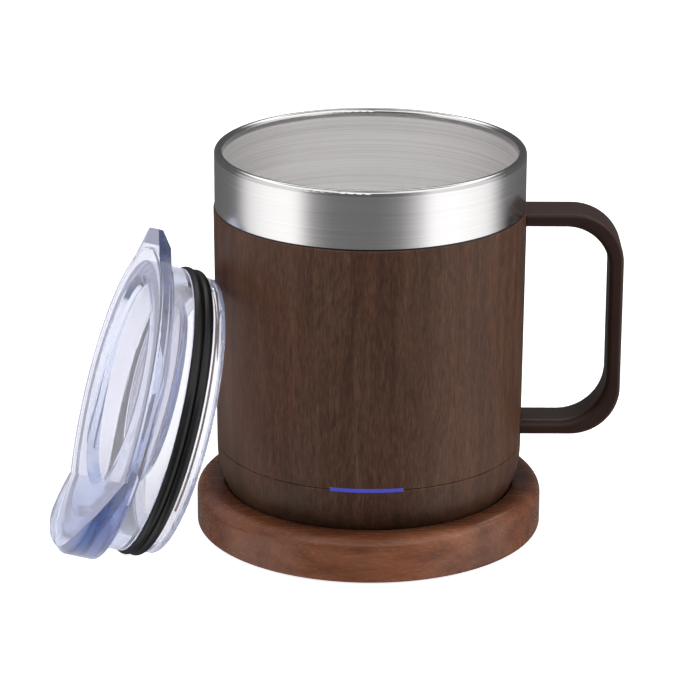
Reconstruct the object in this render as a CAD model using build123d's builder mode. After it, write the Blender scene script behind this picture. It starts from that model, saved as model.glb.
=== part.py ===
from build123d import *
import math
import os

os.makedirs("parts", exist_ok=True)

# Self-heating mug on its charging coaster, with the clear lid leaning against it.
# Millimetres, Z up. The origin is the middle of the face the coaster stands on,
# +X goes to the handle and -Y is the front with the light bar.

# ---- coaster -------------------------------------------------------------
coaster_r = 49.4
coaster_z0 = 0.4
coaster_h = 13.2
coaster_edge = 3.6
recess_r = 41.35
recess_edge = 0.3
recess_z = 10.0
pocket_r = 38.0
web_z = 6.5
puck_r = 18.0
puck_flange_r = 21.0
pad_r = 46.4
pad_t = 1.2
cover_z = 1.2
cover_t = 1.0
board_r = 30.0
board_z = 2.6
board_t = 1.0
usb_w = 8.9
usb_h = 3.2
usb_z = 3.6
cover_screw_ring = 34.0

# ---- charging pins -------------------------------------------------------
pin_inner_x = -10.25
pin_outer_x = 15.25
pin_r = 1.0
pin_shoulder_r = 1.4
pin_tip_z = 10.75
barrel_r = 1.9
barrel_bore = 1.45
spring_wire = 0.17

# ---- mug body ------------------------------------------------------------
rim_z = 111.5
band_r = 43.7
band_wall = 0.8
band_low = 95.2
lip_r = 1.2
mouth_r = 41.3
mouth_low = 94.5
cup_low_r = 39.7
cup_wall = 0.6
cup_floor = 40.6
cup_corner = 9.0
shell_top_r = 44.0
shell_low_r = 43.5
shell_top = 94.75
shell_low = 25.6
shell_bore = 42.7
cap_top = 25.4
cap_bottom = 10.8
plate_z = 10.9
plate_t = 2.0
plate_r = 37.2
foot_z = 10.0
foot_in = 32.7
foot_out = 36.3
ring_inner_r = (9.0, 11.5)
ring_outer_r = (14.0, 16.5)
ring_z = 10.8
button_r = 5.4
button_hole = 5.5
light_half_angle = 13.6
light_mid_angle = -91.0
light_z = (24.95, 26.2)

# ---- inside the base -----------------------------------------------------
main_board_z = 15.6
main_board_t = 1.2
cell_r = 9.0
cell_len = 50.0
cell_x = 9.6
cell_z = 26.8
clamp_z = 36.2
clamp_t = 1.2
pad_top = 39.6

# ---- handle --------------------------------------------------------------
strap_w = 14.0
strap_t = 4.0
handle_top = 94.1
handle_low = 28.7
handle_screw_low = 30.65
handle_out = 71.3
handle_lower_in = 32.6

# ---- lid -----------------------------------------------------------------
lid_azimuth = math.radians(190.8)
lid_tilt = math.radians(16.73)
lid_centre = Vector(-59.2, -19.1, 39.95)
flange_r = 44.6
flange_top = 13.4
flange_low = 9.4
tab_turn = 15.0
tab_reach = 49.6
lip_turn = 199.0
lip_rise = 6.5
groove_low = -3.3
groove_high = 2.5
dish_shift = 6.0
neck_r = 40.5
groove_r = 38.6
plug_r = 39.5
plug_bottom = -7.1

lid_out = Vector(math.cos(lid_azimuth), math.sin(lid_azimuth), 0)
lid_n = lid_out * math.cos(lid_tilt) + Vector(0, 0, 1) * math.sin(lid_tilt)
lid_up = lid_out * -math.sin(lid_tilt) + Vector(0, 0, 1) * math.cos(lid_tilt)
lid_plane = Plane(origin=lid_centre, x_dir=lid_up, z_dir=lid_n)
lid_section = Plane(origin=lid_centre, x_dir=lid_up, z_dir=lid_up.cross(lid_n))
lid_axis = Axis(lid_centre, lid_n)

# =========================================================================
# Coaster
# =========================================================================
with BuildPart() as coaster_top:
    with BuildSketch(Plane.XZ):
        with BuildLine():
            Polyline(
                (puck_r + 0.1, web_z),
                (pocket_r, web_z),
                (pocket_r, pad_t),
                (pad_r + 0.1, pad_t),
                (pad_r + 0.1, coaster_z0),
                (coaster_r - 1.0, coaster_z0),
            )
            RadiusArc((coaster_r - 1.0, coaster_z0), (coaster_r, coaster_z0 + 1.0), -1.0)
            Line((coaster_r, coaster_z0 + 1.0), (coaster_r, coaster_h - coaster_edge))
            RadiusArc(
                (coaster_r, coaster_h - coaster_edge),
                (coaster_r - coaster_edge, coaster_h),
                -coaster_edge,
            )
            Line((coaster_r - coaster_edge, coaster_h), (recess_r + recess_edge, coaster_h))
            RadiusArc((recess_r + recess_edge, coaster_h), (recess_r, coaster_h - recess_edge), -recess_edge)
            Polyline(
                (recess_r, coaster_h - recess_edge),
                (recess_r, recess_z),
                (puck_r + 0.1, recess_z),
                (puck_r + 0.1, web_z),
            )
        make_face()
    revolve(axis=Axis.Z)
    # room for the tongue of the board, then the slot for the inlet
    with BuildSketch(Plane.XY.offset(pad_t)):
        with Locations((0, 37.0)):
            Rectangle(14.0, 14.0)
    extrude(amount=web_z + 0.6 - pad_t, mode=Mode.SUBTRACT)
    with BuildSketch(Plane.XZ.offset(-43.0)):
        with Locations((0, usb_z + usb_h / 2)):
            SlotOverall(usb_w + 0.7, usb_h + 0.7)
    extrude(amount=-8.0, mode=Mode.SUBTRACT)
    # pilot holes for the cover screws
    with BuildSketch(Plane.XY.offset(web_z)):
        with PolarLocations(cover_screw_ring, 4, 45):
            Circle(1.2)
    extrude(amount=2.6, mode=Mode.SUBTRACT)
coaster_top.part.label = "coaster_top"
export_step(coaster_top.part, "parts/coaster_top.step")

with BuildPart() as coaster_pad:
    with BuildSketch(Plane.XY):
        Circle(pad_r)
    extrude(amount=pad_t)
    with BuildSketch(Plane.XY):
        Circle(pad_r - 3.0)
        Circle(pad_r - 3.8, mode=Mode.SUBTRACT)
    extrude(amount=0.4, mode=Mode.SUBTRACT)
coaster_pad.part.label = "coaster_pad"
export_step(coaster_pad.part, "parts/coaster_pad.step")

with BuildPart() as coaster_cover:
    with BuildSketch(Plane.XY.offset(cover_z)):
        Circle(pocket_r - 0.15)
        with Locations((0, 37.0)):
            Rectangle(13.6, 13.6)
    extrude(amount=cover_t)
    # posts up to the wood, and a low ring that the board rests on
    with BuildSketch(Plane.XY.offset(cover_z + cover_t)):
        with PolarLocations(cover_screw_ring, 4, 45):
            Circle(3.2)
    extrude(amount=web_z - cover_z - cover_t)
    with BuildSketch(Plane.XY.offset(cover_z + cover_t)):
        Circle(board_r - 2.0)
        Circle(board_r - 4.0, mode=Mode.SUBTRACT)
    extrude(amount=board_z - cover_z - cover_t)
    with BuildSketch(Plane.XY.offset(cover_z)):
        with PolarLocations(cover_screw_ring, 4, 45):
            Circle(2.4)
    extrude(amount=2.0, mode=Mode.SUBTRACT)
    with BuildSketch(Plane.XY.offset(cover_z)):
        with PolarLocations(cover_screw_ring, 4, 45):
            Circle(1.35)
    extrude(amount=web_z, mode=Mode.SUBTRACT)
coaster_cover.part.label = "coaster_cover"
export_step(coaster_cover.part, "parts/coaster_cover.step")

with BuildPart() as coaster_screws:
    with BuildSketch(Plane.XY.offset(cover_z + 0.6)):
        with PolarLocations(cover_screw_ring, 4, 45):
            Circle(2.2)
    extrude(amount=1.4)
    with BuildSketch(Plane.XY.offset(cover_z + 2.0)):
        with PolarLocations(cover_screw_ring, 4, 45):
            Circle(1.2)
    extrude(amount=web_z + 2.4 - cover_z - 2.0)
    with BuildSketch(Plane.XY.offset(cover_z + 0.6)):
        with PolarLocations(cover_screw_ring, 4, 45):
            RegularPolygon(1.1, 6)
    extrude(amount=0.9, mode=Mode.SUBTRACT)
coaster_screws.part.label = "coaster_screws"
export_step(coaster_screws.part, "parts/coaster_screws.step")

with BuildPart() as coaster_board:
    with BuildSketch(Plane.XY.offset(board_z)):
        Circle(board_r)
        with Locations((0, 36.0)):
            Rectangle(12.4, 15.0)
    extrude(amount=board_t)
    # converter, coil and two capacitors
    with BuildSketch(Plane.XY.offset(board_z + board_t)):
        with Locations((0, 25.5)):
            Rectangle(5.0, 5.0)
    extrude(amount=1.0)
    with BuildSketch(Plane.XY.offset(board_z + board_t)):
        with Locations((9.0, 25.0)):
            RectangleRounded(4.4, 4.4, 0.8)
    extrude(amount=2.0)
    with BuildSketch(Plane.XY.offset(board_z + board_t)):
        with Locations((-8.0, 24.6), (-8.0, 27.2)):
            Rectangle(3.2, 1.6)
    extrude(amount=1.4)
coaster_board.part.label = "coaster_board"
export_step(coaster_board.part, "parts/coaster_board.step")

with BuildPart() as usb_inlet:
    with BuildSketch(Plane.XZ.offset(-41.2)):
        with Locations((0, usb_z + usb_h / 2)):
            SlotOverall(usb_w, usb_h)
    extrude(amount=-7.4)
    with BuildSketch(Plane.XZ.offset(-42.6)):
        with Locations((0, usb_z + usb_h / 2)):
            SlotOverall(usb_w - 0.6, usb_h - 0.6)
    extrude(amount=-7.0, mode=Mode.SUBTRACT)
    # contact tongue
    with BuildSketch(Plane.XZ.offset(-42.4)):
        with Locations((0, usb_z + usb_h / 2)):
            Rectangle(6.6, 0.7)
    extrude(amount=-5.2)
usb_inlet.part.label = "usb_inlet"
export_step(usb_inlet.part, "parts/usb_inlet.step")

with BuildPart() as charging_puck:
    with BuildSketch(Plane.XZ):
        with BuildLine():
            Polyline(
                (0, 4.2),
                (puck_flange_r, 4.2),
                (puck_flange_r, web_z - 0.02),
                (puck_r, web_z - 0.02),
                (puck_r, recess_z - 0.9),
                (puck_r - 0.6, recess_z - 0.3),
                (0, recess_z - 0.3),
                (0, 4.2),
            )
        make_face()
    revolve(axis=Axis.Z)
    # moulded ring groove round the contacts
    with BuildSketch(Plane.XY.offset(recess_z - 0.7)):
        Circle(6.6)
        Circle(6.0, mode=Mode.SUBTRACT)
    extrude(amount=1.0, mode=Mode.SUBTRACT)
    with BuildSketch(Plane.XY.offset(4.0)):
        with Locations((pin_inner_x, 0), (pin_outer_x, 0)):
            Circle(barrel_r)
    extrude(amount=7.0, mode=Mode.SUBTRACT)
charging_puck.part.label = "charging_puck"
export_step(charging_puck.part, "parts/charging_puck.step")

with BuildPart() as pin_barrels:
    with BuildSketch(Plane.XY.offset(board_z + board_t)):
        with Locations((pin_inner_x, 0), (pin_outer_x, 0)):
            Circle(barrel_r)
    extrude(amount=recess_z - 0.2 - board_z - board_t)
    with BuildSketch(Plane.XY.offset(4.2)):
        with Locations((pin_inner_x, 0), (pin_outer_x, 0)):
            Circle(barrel_bore)
    extrude(amount=9.2 - 4.2, mode=Mode.SUBTRACT)
    with BuildSketch(Plane.XY.offset(4.2)):
        with Locations((pin_inner_x, 0), (pin_outer_x, 0)):
            Circle(pin_r + 0.05)
    extrude(amount=8.0, mode=Mode.SUBTRACT)
pin_barrels.part.label = "pin_barrels"
export_step(pin_barrels.part, "parts/pin_barrels.step")

with BuildPart() as charging_pin_inner:
    with BuildSketch(Plane.XY.offset(7.4)):
        with Locations((pin_inner_x, 0)):
            Circle(pin_shoulder_r)
    extrude(amount=1.75)
    with BuildSketch(Plane.XY.offset(9.1)):
        with Locations((pin_inner_x, 0)):
            Circle(pin_r)
    extrude(amount=pin_tip_z - 9.1)
    fillet(charging_pin_inner.faces().sort_by(Axis.Z)[-1].edges(), 0.6)
charging_pin_inner.part.label = "charging_pin_inner"
export_step(charging_pin_inner.part, "parts/charging_pin_inner.step")

with BuildPart() as charging_pin_outer:
    with BuildSketch(Plane.XY.offset(7.4)):
        with Locations((pin_outer_x, 0)):
            Circle(pin_shoulder_r)
    extrude(amount=1.75)
    with BuildSketch(Plane.XY.offset(9.1)):
        with Locations((pin_outer_x, 0)):
            Circle(pin_r)
    extrude(amount=pin_tip_z - 9.1)
    fillet(charging_pin_outer.faces().sort_by(Axis.Z)[-1].edges(), 0.6)
charging_pin_outer.part.label = "charging_pin_outer"
export_step(charging_pin_outer.part, "parts/charging_pin_outer.step")

with BuildPart() as pin_spring_inner:
    with BuildLine() as coil_inner:
        Helix(pitch=0.68, height=2.72, radius=1.15, center=(pin_inner_x, 0, 4.44))
    with BuildSketch(Plane(origin=coil_inner.line @ 0, z_dir=coil_inner.line % 0)):
        Circle(spring_wire)
    sweep(path=coil_inner.line, is_frenet=True)
pin_spring_inner.part.label = "pin_spring_inner"
export_step(pin_spring_inner.part, "parts/pin_spring_inner.step")

with BuildPart() as pin_spring_outer:
    with BuildLine() as coil_outer:
        Helix(pitch=0.68, height=2.72, radius=1.15, center=(pin_outer_x, 0, 4.44))
    with BuildSketch(Plane(origin=coil_outer.line @ 0, z_dir=coil_outer.line % 0)):
        Circle(spring_wire)
    sweep(path=coil_outer.line, is_frenet=True)
pin_spring_outer.part.label = "pin_spring_outer"
export_step(pin_spring_outer.part, "parts/pin_spring_outer.step")

# =========================================================================
# Mug: cup, band, shell
# =========================================================================
lip_mid = (mouth_r + band_r) / 2
lip_z = rim_z - lip_r
with BuildPart() as inner_cup:
    with BuildSketch(Plane.XZ):
        with BuildLine():
            Line((0, cup_floor), (cup_low_r - cup_corner, cup_floor))
            RadiusArc(
                (cup_low_r - cup_corner, cup_floor),
                (cup_low_r, cup_floor + cup_corner),
                -cup_corner,
            )
            Line((cup_low_r, cup_floor + cup_corner), (mouth_r, mouth_low))
            Line((mouth_r, mouth_low), (mouth_r, lip_z))
            RadiusArc((mouth_r, lip_z), (lip_mid, rim_z), lip_r)
            RadiusArc((lip_mid, rim_z), (band_r, lip_z), lip_r)
            Polyline(
                (band_r, lip_z),
                (band_r, lip_z - 0.35),
                (mouth_r + cup_wall, lip_z - 0.35),
                (mouth_r + cup_wall, mouth_low),
                (cup_low_r + cup_wall, cup_floor + cup_corner),
            )
            RadiusArc(
                (cup_low_r + cup_wall, cup_floor + cup_corner),
                (cup_low_r - cup_corner, cup_floor - cup_wall),
                cup_corner + cup_wall,
            )
            Polyline(
                (cup_low_r - cup_corner, cup_floor - cup_wall),
                (0, cup_floor - cup_wall),
                (0, cup_floor),
            )
        make_face()
    revolve(axis=Axis.Z)
inner_cup.part.label = "inner_cup"
export_step(inner_cup.part, "parts/inner_cup.step")

with BuildPart() as steel_band:
    with BuildSketch(Plane.XZ):
        with BuildLine():
            Polyline(
                (band_r - band_wall, lip_z - 0.35),
                (band_r, lip_z - 0.35),
                (band_r, band_low),
                (42.55, band_low),
                (42.55, 87.0),
                (41.98, 87.0),
                (41.98, band_low + 0.8),
                (band_r - band_wall, band_low + 0.8),
                (band_r - band_wall, lip_z - 0.35),
            )
        make_face()
    revolve(axis=Axis.Z)
    # slot in the spigot that clears the upper handle screw
    with BuildSketch(Plane.YZ.offset(40.0)):
        with Locations((0, 90.8)):
            Rectangle(6.4, 8.0)
    extrude(amount=2.7, mode=Mode.SUBTRACT)
steel_band.part.label = "steel_band"
export_step(steel_band.part, "parts/steel_band.step")

with BuildPart() as seam_gasket:
    with BuildSketch(Plane.XY.offset(shell_top)):
        Circle(43.75)
        Circle(42.6, mode=Mode.SUBTRACT)
    extrude(amount=band_low - shell_top)
seam_gasket.part.label = "seam_gasket"
export_step(seam_gasket.part, "parts/seam_gasket.step")

with BuildPart() as outer_shell:
    with BuildSketch(Plane.XZ):
        with BuildLine():
            Polyline(
                (shell_bore, shell_top),
                (shell_top_r - 0.25, shell_top),
                (shell_top_r, shell_top - 0.25),
                (shell_low_r, shell_low + 0.2),
                (shell_low_r - 0.2, shell_low),
                (42.3, shell_low),
                (42.3, 37.4),
                (38.6, 37.4),
                (38.6, 38.9),
                (40.4, 38.9),
                (42.3, 41.4),
                (shell_bore, 43.0),
                (shell_bore, shell_top),
            )
        make_face()
    revolve(axis=Axis.Z)
    # holes for the handle screws
    with BuildSketch(Plane.YZ.offset(41.0)):
        with Locations((0, handle_top - strap_t / 2), (0, handle_screw_low)):
            Circle(1.35)
    extrude(amount=4.0, mode=Mode.SUBTRACT)
    # pilot holes for the clamp screws
    with BuildSketch(Plane.XY.offset(37.0)):
        with PolarLocations(40.2, 4, 45):
            Circle(0.8)
    extrude(amount=1.8, mode=Mode.SUBTRACT)
    # window for the light bar
    with BuildSketch(Plane.XY.offset(shell_low - 1.0)):
        with BuildLine():
            Polyline(
                (0, 0),
                (60 * math.cos(math.radians(light_mid_angle - light_half_angle)), 60 * math.sin(math.radians(light_mid_angle - light_half_angle))),
                (60 * math.cos(math.radians(light_mid_angle + light_half_angle)), 60 * math.sin(math.radians(light_mid_angle + light_half_angle))),
                (0, 0),
            )
        make_face()
    extrude(amount=light_z[1] - shell_low + 1.0, mode=Mode.SUBTRACT)
outer_shell.part.label = "outer_shell"
export_step(outer_shell.part, "parts/outer_shell.step")

with BuildPart() as base_cap:
    with BuildSketch(Plane.XZ):
        with BuildLine():
            Polyline(
                (41.0, 27.4),
                (42.2, 27.4),
                (42.2, cap_top),
                (shell_low_r - 0.2, cap_top),
                (shell_low_r, cap_top - 0.2),
            )
            Spline(
                (shell_low_r, cap_top - 0.2),
                (43.25, 20.7),
                (42.3, 16.4),
                (40.9, 13.0),
                tangents=[(0, -1), (-0.45, -1)],
            )
            Spline(
                (40.9, 13.0),
                (39.3, 11.25),
                (37.9, cap_bottom),
                tangents=[(-0.45, -1), (-1, 0)],
            )
            Polyline(
                (37.9, cap_bottom),
                (37.4, cap_bottom),
                (37.4, plate_z + plate_t),
                (30.6, plate_z + plate_t),
                (30.6, 14.5),
                (38.6, 14.5),
                (40.2, 17.0),
                (41.0, 20.5),
                (41.0, 27.4),
            )
        make_face()
    revolve(axis=Axis.Z)
    # bosses for the base screws, joined to the ledge
    with BuildSketch(Plane.XY.offset(14.0)):
        with PolarLocations(34.5, 4, 45):
            Circle(2.6)
    extrude(amount=5.0)
    with BuildSketch(Plane.XY.offset(plate_z)):
        with PolarLocations(34.5, 4, 45):
            Circle(1.0)
    extrude(amount=7.4, mode=Mode.SUBTRACT)
    # posts that carry the control board, on the ledge
    with BuildSketch(Plane.XY.offset(14.2)):
        with PolarLocations(31.6, 4, 0):
            Circle(1.8)
    extrude(amount=main_board_z - 14.2)
    # window for the light bar
    with BuildSketch(Plane.XY.offset(light_z[0])):
        with BuildLine():
            Polyline(
                (0, 0),
                (60 * math.cos(math.radians(light_mid_angle - light_half_angle)), 60 * math.sin(math.radians(light_mid_angle - light_half_angle))),
                (60 * math.cos(math.radians(light_mid_angle + light_half_angle)), 60 * math.sin(math.radians(light_mid_angle + light_half_angle))),
                (0, 0),
            )
        make_face()
    extrude(amount=light_z[1] - light_z[0], mode=Mode.SUBTRACT)
base_cap.part.label = "base_cap"
export_step(base_cap.part, "parts/base_cap.step")

with BuildPart() as light_bar:
    with BuildSketch(Plane.XY.offset(light_z[0] + 0.02)):
        Circle(shell_low_r + 0.06)
        Circle(41.0, mode=Mode.SUBTRACT)
        with BuildLine():
            Polyline(
                (0, 0),
                (60 * math.cos(math.radians(light_mid_angle - light_half_angle + 0.05)), 60 * math.sin(math.radians(light_mid_angle - light_half_angle + 0.05))),
                (60 * math.cos(math.radians(light_mid_angle + light_half_angle - 0.05)), 60 * math.sin(math.radians(light_mid_angle + light_half_angle - 0.05))),
                (0, 0),
            )
        make_face(mode=Mode.INTERSECT)
    extrude(amount=light_z[1] - light_z[0] - 0.04)
    fillet(light_bar.edges().filter_by(GeomType.CIRCLE).group_by(SortBy.LENGTH)[-1], 0.2)
light_bar.part.label = "light_bar"
export_step(light_bar.part, "parts/light_bar.step")

with BuildPart() as insulation_sleeve:
    with BuildSketch(Plane.XZ):
        with BuildLine():
            Polyline(
                (cup_low_r + cup_wall + 0.08, 50.0),
                (cup_low_r + cup_wall + 0.70, 50.0),
                (cup_low_r + cup_wall + 0.70 + 1.22, 84.0),
                (cup_low_r + cup_wall + 0.08 + 1.22, 84.0),
                (cup_low_r + cup_wall + 0.08, 50.0),
            )
        make_face()
    revolve(axis=Axis.Z)
insulation_sleeve.part.label = "insulation_sleeve"
export_step(insulation_sleeve.part, "parts/insulation_sleeve.step")

# =========================================================================
# Mug: handle
# =========================================================================
with BuildPart() as handle:
    with BuildSketch(Plane.XZ) as handle_outline:
        with BuildLine():
            Polyline(
                (40.0, handle_top),
                (handle_out, handle_top),
                (handle_out - 0.1, handle_low),
                (40.0, handle_low),
                (40.0, handle_lower_in),
                (handle_out - strap_t, handle_lower_in),
                (handle_out - strap_t, handle_top - strap_t),
                (40.0, handle_top - strap_t),
                (40.0, handle_top),
            )
        make_face()
        fillet(handle_outline.vertices().sort_by_distance((handle_out, handle_top, 0))[0], 14.4)
        fillet(handle_outline.vertices().sort_by_distance((handle_out, handle_low, 0))[0], 14.0)
        fillet(handle_outline.vertices().sort_by_distance((handle_out - strap_t, handle_top - strap_t, 0))[0], 12.4)
        fillet(handle_outline.vertices().sort_by_distance((handle_out - strap_t, handle_lower_in, 0))[0], 13.6)
    extrude(amount=strap_w / 2, both=True)
    # soft inner edges for the fingers, crisper outer edges
    strap_in = handle_out - strap_t
    inner_path = [
        (48.0, handle_top - strap_t),
        (strap_in - 12.4 * 0.2929, handle_top - strap_t - 12.4 * 0.2929),
        (strap_in, 60.0),
        (strap_in - 13.6 * 0.2929, handle_lower_in + 13.6 * 0.2929),
        (48.0, handle_lower_in),
    ]
    outer_path = [
        (48.0, handle_top),
        (handle_out - 14.4 * 0.2929, handle_top - 14.4 * 0.2929),
        (handle_out, 60.0),
        (handle_out - 14.0 * 0.2929, handle_low + 14.0 * 0.2929),
        (48.0, handle_low),
    ]
    for path, radius in ((inner_path, 2.4), (outer_path, 1.0)):
        fillet([handle.edges().sort_by_distance((x, y, z))[0] for x, z in path for y in (-strap_w / 2, strap_w / 2)], radius)
    # ends follow the shell
    with BuildSketch(Plane.XZ):
        with BuildLine():
            Polyline((0, 20.0), (shell_low_r - 0.02, 20.0), (shell_low_r + 0.02, shell_low), (shell_top_r + 0.02, shell_top), (0, shell_top), (0, 20.0))
        make_face()
    revolve(axis=Axis.Z, mode=Mode.SUBTRACT)
    with BuildSketch(Plane.YZ.offset(41.0)):
        with Locations((0, handle_top - strap_t / 2), (0, handle_screw_low)):
            Circle(1.2)
    extrude(amount=11.2, mode=Mode.SUBTRACT)
handle.part.label = "handle"
export_step(handle.part, "parts/handle.step")

with BuildPart() as handle_screws:
    with BuildSketch(Plane.YZ.offset(42.0)):
        with Locations((0, handle_top - strap_t / 2), (0, handle_screw_low)):
            Circle(1.2)
    extrude(amount=9.6)
    with BuildSketch(Plane.YZ.offset(41.98)):
        with Locations((0, handle_top - strap_t / 2)):
            Circle(2.3)
    extrude(amount=0.6)
    with BuildSketch(Plane.YZ.offset(41.58)):
        with Locations((0, handle_screw_low)):
            Circle(2.3)
    extrude(amount=0.6)
handle_screws.part.label = "handle_screws"
export_step(handle_screws.part, "parts/handle_screws.step")

# =========================================================================
# Mug: heater, battery and electronics
# =========================================================================
with BuildPart() as heater_film:
    with BuildSketch(Plane.XY.offset(pad_top)):
        Circle(29.0)
    extrude(amount=cup_floor - cup_wall - pad_top)
heater_film.part.label = "heater_film"
export_step(heater_film.part, "parts/heater_film.step")

with BuildPart() as heater_insulation:
    with BuildSketch(Plane.XY.offset(clamp_z + clamp_t)):
        Circle(33.0)
        Circle(2.1, mode=Mode.SUBTRACT)
        with Locations((-27.0, -2.5), (-27.0, 2.5)):
            Circle(0.8, mode=Mode.SUBTRACT)
    extrude(amount=pad_top - clamp_z - clamp_t)
heater_insulation.part.label = "heater_insulation"
export_step(heater_insulation.part, "parts/heater_insulation.step")

with BuildPart() as temperature_sensor:
    with BuildSketch(Plane.XY.offset(clamp_z + clamp_t + 0.2)):
        Circle(1.5)
    extrude(amount=pad_top - clamp_z - clamp_t - 0.2)
    fillet(temperature_sensor.faces().sort_by(Axis.Z)[0].edges(), 0.5)
temperature_sensor.part.label = "temperature_sensor"
export_step(temperature_sensor.part, "parts/temperature_sensor.step")

with BuildPart() as heater_leads:
    with BuildSketch(Plane.XY.offset(main_board_z + main_board_t)):
        with Locations((-27.0, -2.5), (-27.0, 2.5)):
            Circle(0.6)
    extrude(amount=pad_top - main_board_z - main_board_t)
heater_leads.part.label = "heater_leads"
export_step(heater_leads.part, "parts/heater_leads.step")

with BuildPart() as clamp_plate:
    with BuildSketch(Plane.XY.offset(clamp_z)):
        Circle(42.1)
        with Locations((-27.0, -2.5), (-27.0, 2.5)):
            Circle(0.9, mode=Mode.SUBTRACT)
        with PolarLocations(40.2, 4, 45):
            Circle(0.9, mode=Mode.SUBTRACT)
    extrude(amount=clamp_t)
clamp_plate.part.label = "clamp_plate"
export_step(clamp_plate.part, "parts/clamp_plate.step")

with BuildPart() as clamp_screws:
    with BuildSketch(Plane.XY.offset(clamp_z - 1.0)):
        with PolarLocations(40.2, 4, 45):
            Circle(1.6)
    extrude(amount=1.0)
    with BuildSketch(Plane.XY.offset(clamp_z)):
        with PolarLocations(40.2, 4, 45):
            Circle(0.8)
    extrude(amount=2.5)
clamp_screws.part.label = "clamp_screws"
export_step(clamp_screws.part, "parts/clamp_screws.step")

with BuildPart() as battery_cells:
    with BuildSketch(Plane.XZ.offset(-cell_len / 2)):
        with Locations((-cell_x, cell_z), (cell_x, cell_z)):
            Circle(cell_r)
    extrude(amount=cell_len)
    fillet(battery_cells.edges().filter_by(GeomType.CIRCLE), 0.6)
battery_cells.part.label = "battery_cells"
export_step(battery_cells.part, "parts/battery_cells.step")

with BuildPart() as battery_tray:
    with BuildSketch(Plane.XY.offset(main_board_z + main_board_t)):
        RectangleRounded(42.0, 54.0, 3.0)
    extrude(amount=9.0)
    with BuildSketch(Plane.XZ.offset(-cell_len / 2 - 0.15)):
        with Locations((-cell_x, cell_z), (cell_x, cell_z)):
            Circle(cell_r + 0.1)
    extrude(amount=cell_len + 0.3, mode=Mode.SUBTRACT)
battery_tray.part.label = "battery_tray"
export_step(battery_tray.part, "parts/battery_tray.step")

with BuildPart() as control_board:
    with BuildSketch(Plane.XY.offset(main_board_z)):
        Circle(33.2)
        with PolarLocations(34.5, 4, 45):
            Circle(3.0, mode=Mode.SUBTRACT)
    extrude(amount=main_board_t)
control_board.part.label = "control_board"
export_step(control_board.part, "parts/control_board.step")

with BuildPart() as board_components:
    with BuildSketch(Plane.XY.offset(main_board_z - 1.0)):
        with Locations((0, 20.0)):
            Rectangle(6.0, 6.0)
        with Locations((-17.0, -15.0)):
            Rectangle(5.0, 4.0)
        with Locations((10.0, -19.0), (13.5, -19.0), (17.0, -19.0)):
            Rectangle(1.6, 3.2)
    extrude(amount=1.0)
    with BuildSketch(Plane.XY.offset(main_board_z - 1.8)):
        with Locations((17.5, 14.5)):
            RectangleRounded(6.0, 6.0, 1.0)
    extrude(amount=1.8)
board_components.part.label = "board_components"
export_step(board_components.part, "parts/board_components.step")

with BuildPart() as led_board:
    with BuildSketch(Plane.XY.offset(22.6)):
        with Locations((-0.67, -37.6)):
            Rectangle(18.4, 1.0)
    extrude(amount=5.6)
led_board.part.label = "led_board"
export_step(led_board.part, "parts/led_board.step")

with BuildPart() as led_chips:
    with BuildSketch(Plane.XY.offset(25.2)):
        with Locations((-0.67, -38.5)):
            with GridLocations(4.6, 1.0, 4, 1):
                Rectangle(1.6, 0.8)
    extrude(amount=0.8)
led_chips.part.label = "led_chips"
export_step(led_chips.part, "parts/led_chips.step")

# =========================================================================
# Mug: underside
# =========================================================================
with BuildPart() as base_plate:
    with BuildSketch(Plane.XY.offset(plate_z)):
        Circle(plate_r)
        Circle(button_hole, mode=Mode.SUBTRACT)
    extrude(amount=plate_t)
    # rebate for the seal
    with BuildSketch(Plane.XY.offset(plate_z + 1.0)):
        Circle(plate_r + 1.0)
        Circle(36.1, mode=Mode.SUBTRACT)
    extrude(amount=2.0, mode=Mode.SUBTRACT)
    # groove for the foot ring
    with BuildSketch(Plane.XY.offset(plate_z - 0.5)):
        Circle(foot_out + 0.05)
        Circle(foot_in - 0.05, mode=Mode.SUBTRACT)
    extrude(amount=1.3, mode=Mode.SUBTRACT)
    # grooves and post holes for the contact rings
    with BuildSketch(Plane.XY.offset(plate_z - 0.5)):
        Circle(ring_outer_r[1])
        Circle(ring_outer_r[0], mode=Mode.SUBTRACT)
        Circle(ring_inner_r[1])
        Circle(ring_inner_r[0], mode=Mode.SUBTRACT)
    extrude(amount=1.7, mode=Mode.SUBTRACT)
    with BuildSketch(Plane.XY.offset(plate_z)):
        with Locations((0, 10.25), (0, -15.25)):
            Circle(0.9)
    extrude(amount=4.0, mode=Mode.SUBTRACT)
    # screw holes, countersunk from the foot groove
    with BuildSketch(Plane.XY.offset(plate_z)):
        with PolarLocations(34.5, 4, 45):
            Circle(1.05)
    extrude(amount=4.0, mode=Mode.SUBTRACT)
    with BuildSketch(Plane.XY.offset(plate_z + 0.5)):
        with PolarLocations(34.5, 4, 45):
            Circle(1.55)
    extrude(amount=0.9, mode=Mode.SUBTRACT)
base_plate.part.label = "base_plate"
export_step(base_plate.part, "parts/base_plate.step")

with BuildPart() as base_seal:
    with BuildSketch(Plane.XY.offset(plate_z + 1.0)):
        Circle(plate_r + 0.15)
        Circle(36.12, mode=Mode.SUBTRACT)
    extrude(amount=1.0)
base_seal.part.label = "base_seal"
export_step(base_seal.part, "parts/base_seal.step")

with BuildPart() as base_screws:
    with BuildSketch(Plane.XY.offset(plate_z + 0.8)):
        with PolarLocations(34.5, 4, 45):
            Circle(1.5)
    extrude(amount=0.6)
    with BuildSketch(Plane.XY.offset(plate_z + 1.2)):
        with PolarLocations(34.5, 4, 45):
            Circle(1.0)
    extrude(amount=5.8)
    with BuildSketch(Plane.XY.offset(plate_z + 0.8)):
        with PolarLocations(34.5, 4, 45):
            RegularPolygon(0.7, 6)
    extrude(amount=0.4, mode=Mode.SUBTRACT)
base_screws.part.label = "base_screws"
export_step(base_screws.part, "parts/base_screws.step")

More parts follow.
